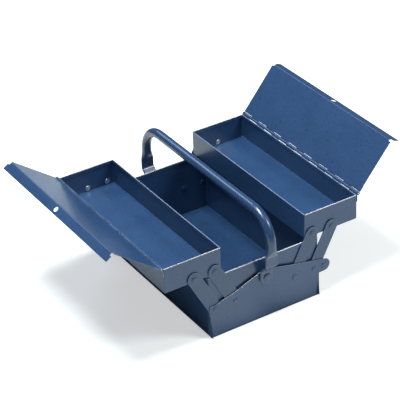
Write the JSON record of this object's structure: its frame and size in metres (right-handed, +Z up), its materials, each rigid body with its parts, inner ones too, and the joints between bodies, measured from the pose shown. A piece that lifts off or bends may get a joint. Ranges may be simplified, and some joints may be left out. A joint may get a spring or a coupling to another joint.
{
  "type": "cantilever tool box",
  "caption": "Folding-handle steel tool box: a deep base with trays that swing up and out on flat arms, each under its own hinged lid.",
  "frame": {"origin": "centre of the underside of the base box, where the box stands on a surface", "axes": "+Z up, +Y along the box towards its rear end, +X across the box towards the right tray"},
  "size_m": [0.5689, 0.4088, 0.248],
  "materials": {
    "body_paint": "semi-gloss blue enamel on sheet steel",
    "lid_paint": "semi-gloss blue enamel on sheet steel",
    "arm_paint": "semi-gloss blue-grey enamel on flat bar",
    "handle_paint": "glossy blue enamel on bent tube",
    "hinge_paint": "blue enamel, worn on the knuckles",
    "rivet_steel": "plated steel rivet heads",
    "pin_steel": "plain steel pin"
  },
  "bodies": {
    "base": {"base_box": "body_paint", "end_plate_front": "body_paint", "end_plate_rear": "body_paint", "handle_rivet_front": "body_paint", "handle_rivet_rear": "body_paint", "handle_washer_front": "rivet_steel", "handle_washer_rear": "rivet_steel", "stop_rivet_front": "body_paint", "stop_rivet_rear": "body_paint", "stop_sleeve_front": "rivet_steel", "stop_sleeve_rear": "rivet_steel", "base_rivet_left_outer_front": "body_paint", "base_rivet_left_outer_rear": "body_paint", "base_rivet_left_inner_front": "body_paint", "base_rivet_left_inner_rear": "body_paint", "base_rivet_right_outer_front": "body_paint", "base_rivet_right_outer_rear": "body_paint", "base_rivet_right_inner_front": "body_paint", "base_rivet_right_inner_rear": "body_paint"},
    "left_outer_arms": {"outer_arm_left_front": "arm_paint", "outer_arm_left_rear": "arm_paint"},
    "left_inner_arms": {"inner_arm_left_front": "arm_paint", "inner_arm_left_rear": "arm_paint"},
    "left_tray": {"tray_rivet_left_outer_front": "rivet_steel", "tray_rivet_left_outer_rear": "rivet_steel", "tray_rivet_left_inner_front": "rivet_steel", "tray_rivet_left_inner_rear": "rivet_steel", "tray_left": "body_paint", "tray_hinge_leaf_left": "hinge_paint", "hinge_pin_left": "pin_steel"},
    "left_lid": {"lid_hinge_leaf_left": "hinge_paint", "lid_left": "lid_paint"},
    "right_outer_arms": {"outer_arm_right_front": "arm_paint", "outer_arm_right_rear": "arm_paint"},
    "right_inner_arms": {"inner_arm_right_front": "arm_paint", "inner_arm_right_rear": "arm_paint"},
    "right_tray": {"tray_rivet_right_outer_front": "rivet_steel", "tray_rivet_right_outer_rear": "rivet_steel", "tray_rivet_right_inner_front": "rivet_steel", "tray_rivet_right_inner_rear": "rivet_steel", "tray_right": "body_paint", "tray_hinge_leaf_right": "hinge_paint", "hinge_pin_right": "pin_steel"},
    "right_lid": {"lid_hinge_leaf_right": "hinge_paint", "lid_right": "lid_paint"},
    "handle": {"handle": "handle_paint"}
  },
  "joints": [
    {"name": "handle_fold", "type": "hinge", "parent": "base", "child": "handle", "pos_m": [0, 0, 0.081], "axis": [0, 1, 0], "range_deg": [-32, 32]},
    {"name": "left_arm_swing", "type": "hinge", "parent": "base", "child": "left_outer_arms", "pos_m": [-0.099, 0, 0.05523], "axis": [0, 1, 0], "range_deg": [0, 61.16]},
    {"name": "left_inner_arm_swing", "type": "hinge", "parent": "base", "child": "left_inner_arms", "pos_m": [-0.0594, 0, 0.05523], "axis": [0, 1, 0], "range_deg": [0, 61.16]},
    {"name": "left_tray_level", "type": "hinge", "parent": "left_outer_arms", "child": "left_tray", "pos_m": [-0.13622, 0, 0.12672], "axis": [0, 1, 0], "range_deg": [-61.16, 0]},
    {"name": "left_lid_hinge", "type": "hinge", "parent": "left_tray", "child": "left_lid", "pos_m": [-0.19402, 0, 0.16772], "axis": [0, 1, 0], "range_deg": [-7, 143]},
    {"name": "right_arm_swing", "type": "hinge", "parent": "base", "child": "right_outer_arms", "pos_m": [0.099, 0, 0.05523], "axis": [0, -1, 0], "range_deg": [0, 61.16]},
    {"name": "right_inner_arm_swing", "type": "hinge", "parent": "base", "child": "right_inner_arms", "pos_m": [0.0594, 0, 0.05523], "axis": [0, -1, 0], "range_deg": [0, 61.16]},
    {"name": "right_tray_level", "type": "hinge", "parent": "right_outer_arms", "child": "right_tray", "pos_m": [0.13622, 0, 0.12672], "axis": [0, -1, 0], "range_deg": [-61.16, 0]},
    {"name": "right_lid_hinge", "type": "hinge", "parent": "right_tray", "child": "right_lid", "pos_m": [0.19402, 0, 0.16772], "axis": [0, -1, 0], "range_deg": [-20, 130]}
  ],
  "couplings": [
    {"joint": "left_inner_arm_swing", "follows": "left_arm_swing", "ratio": 1},
    {"joint": "left_tray_level", "follows": "left_arm_swing", "ratio": -1},
    {"joint": "right_inner_arm_swing", "follows": "right_arm_swing", "ratio": 1},
    {"joint": "right_tray_level", "follows": "right_arm_swing", "ratio": -1}
  ]
}
